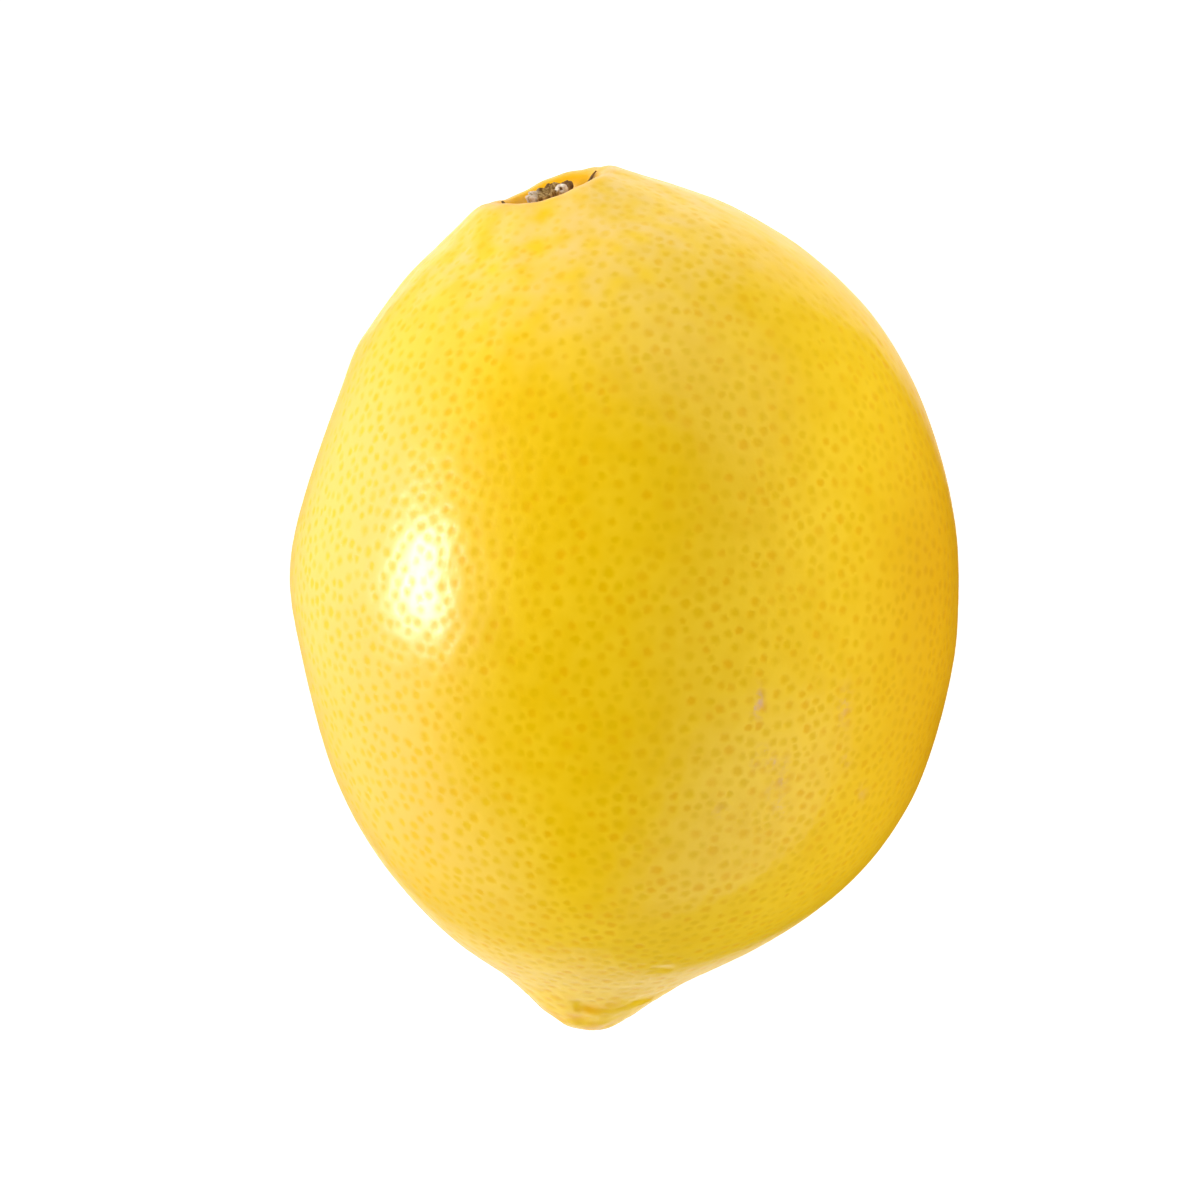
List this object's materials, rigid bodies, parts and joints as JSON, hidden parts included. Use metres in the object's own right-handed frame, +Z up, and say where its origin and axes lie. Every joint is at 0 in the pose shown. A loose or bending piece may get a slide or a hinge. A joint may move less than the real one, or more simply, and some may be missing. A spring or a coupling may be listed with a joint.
{
  "type": "lemon",
  "caption": "Whole ripe lemon lying on its side: yellow pitted peel, blunt nipple, puckered collar and a dried woody stem button in its scar.",
  "frame": {"origin": "on the resting surface, below the middle of the fruit's box; z = 0 is the small flat under the belly", "axes": "+Y runs along the fruit from the nipple to the stem end, +Z is up out of the surface it lies on, and +X is to the right when looking down on it with the stem end away"},
  "size_m": [0.065, 0.0864, 0.0645],
  "materials": {
    "lemon_peel": "waxy ripe lemon peel, satin sheen, pitted with oil glands",
    "dried_stem": "dry matte grey-brown woody fibre"
  },
  "bodies": {
    "root": {"lemon_fruit": "lemon_peel", "stem_button": "dried_stem"}
  },
  "joints": []
}
